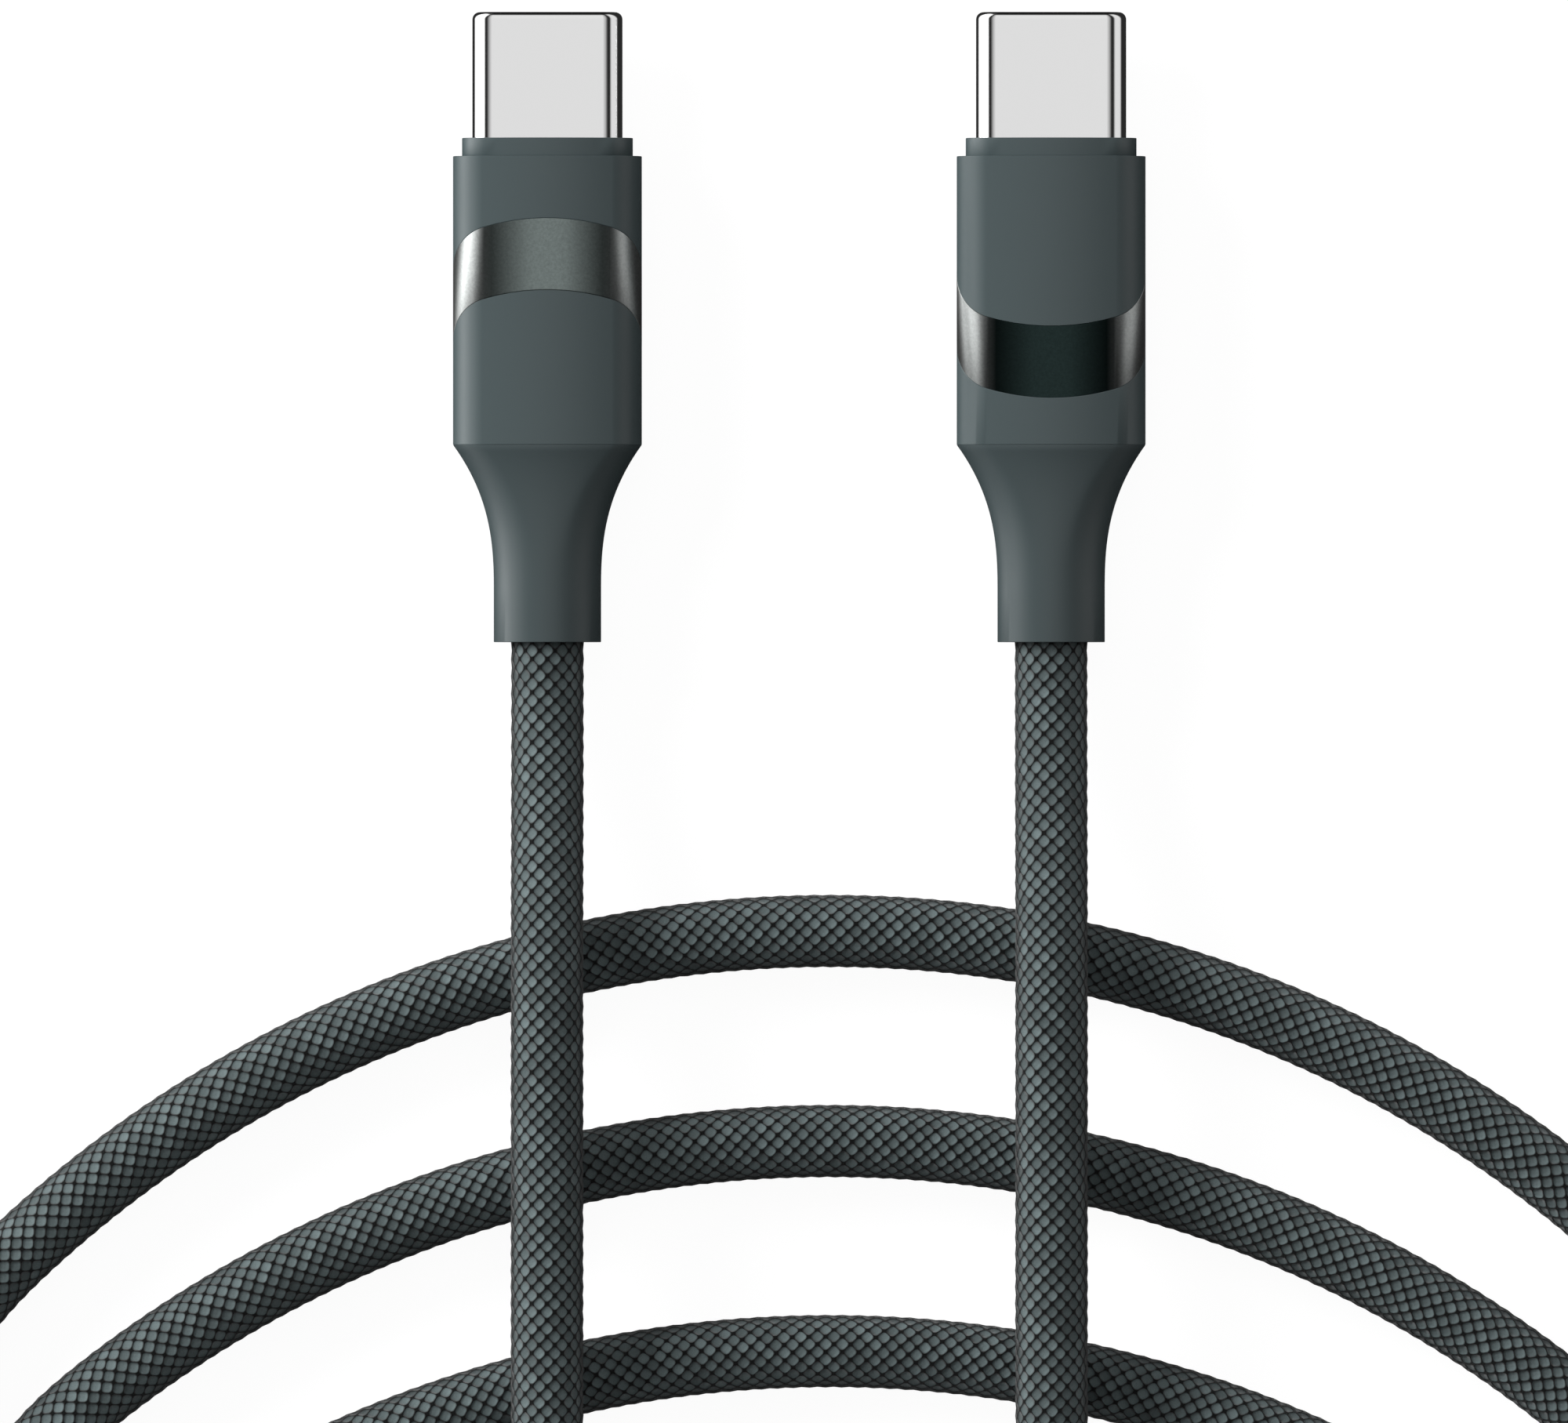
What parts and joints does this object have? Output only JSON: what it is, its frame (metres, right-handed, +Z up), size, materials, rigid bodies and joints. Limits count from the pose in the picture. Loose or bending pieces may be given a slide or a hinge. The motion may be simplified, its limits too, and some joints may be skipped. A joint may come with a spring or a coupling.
{
  "type": "charging cable",
  "caption": "Braided charging cable lying in loose turns, with a slim reversible plug in a rounded moulded body at each end.",
  "frame": {"origin": "on the surface that the cable lies on, midway between the two connectors and halfway along them", "axes": "+X across the two connectors, +Y towards the tips of both plugs, +Z up from the surface"},
  "size_m": [0.1059, 0.1351, 0.0081],
  "materials": {
    "plug_metal": "nickel-plated steel, bright, drawn and folded at the rim",
    "carrier_plastic": "moulded black",
    "contact_gold": "gold-plated copper alloy",
    "spring_steel": "bright rolled spring steel",
    "card_laminate": "green solder mask on glass laminate",
    "capacitor_ceramic": "fired ceramic",
    "chip_plastic": "black epoxy package",
    "red_insulation": "smooth insulation",
    "black_insulation": "smooth insulation",
    "white_insulation": "smooth insulation",
    "blue_insulation": "smooth insulation",
    "shield_tinplate": "tinned sheet, satin",
    "mould_plastic": "natural translucent moulding",
    "body_plastic": "slate, fine satin",
    "band_metal": "gunmetal anodised, bead-blasted satin",
    "boot_elastomer": "slate, smooth satin",
    "ferrule_brass": "plain rolled",
    "jacket_elastomer": "smooth extruded",
    "cord_braid": "slate textile braid, two-up two-down, slightly fuzzy"
  },
  "bodies": {
    "root": {"left_plug_shell": "plug_metal", "left_contact_carrier": "carrier_plastic", "left_upper_contacts": "contact_gold", "left_lower_contacts": "contact_gold", "left_latch_spring": "spring_steel", "left_upper_ground_spring": "spring_steel", "left_lower_ground_spring": "spring_steel", "left_paddle_card": "card_laminate", "left_capacitors": "capacitor_ceramic", "left_power_wire": "red_insulation", "left_ground_wire": "black_insulation", "left_data_wires": "white_insulation", "left_control_wire": "blue_insulation", "left_upper_shield": "shield_tinplate", "left_lower_shield": "shield_tinplate", "left_inner_mould": "mould_plastic", "left_nose_collar": "body_plastic", "left_front_housing": "body_plastic", "left_rear_housing": "body_plastic", "left_trim_band": "band_metal", "left_strain_relief": "boot_elastomer", "left_crimp_ferrule": "ferrule_brass", "left_jacket_end": "jacket_elastomer", "left_braid_end": "cord_braid", "right_plug_shell": "plug_metal", "right_contact_carrier": "carrier_plastic", "right_upper_contacts": "contact_gold", "right_lower_contacts": "contact_gold", "right_latch_spring": "spring_steel", "right_upper_ground_spring": "spring_steel", "right_lower_ground_spring": "spring_steel", "right_paddle_card": "card_laminate", "right_capacitors": "capacitor_ceramic", "right_power_wire": "red_insulation", "right_ground_wire": "black_insulation", "right_data_wires": "white_insulation", "right_control_wire": "blue_insulation", "right_upper_shield": "shield_tinplate", "right_lower_shield": "shield_tinplate", "right_inner_mould": "mould_plastic", "right_nose_collar": "body_plastic", "right_front_housing": "body_plastic", "right_rear_housing": "body_plastic", "right_trim_band": "band_metal", "right_strain_relief": "boot_elastomer", "right_crimp_ferrule": "ferrule_brass", "right_jacket_end": "jacket_elastomer", "right_braid_end": "cord_braid", "left_cable_chip": "chip_plastic", "left_lead": "cord_braid", "right_lead": "cord_braid", "cord_coil": "cord_braid"}
  },
  "joints": []
}
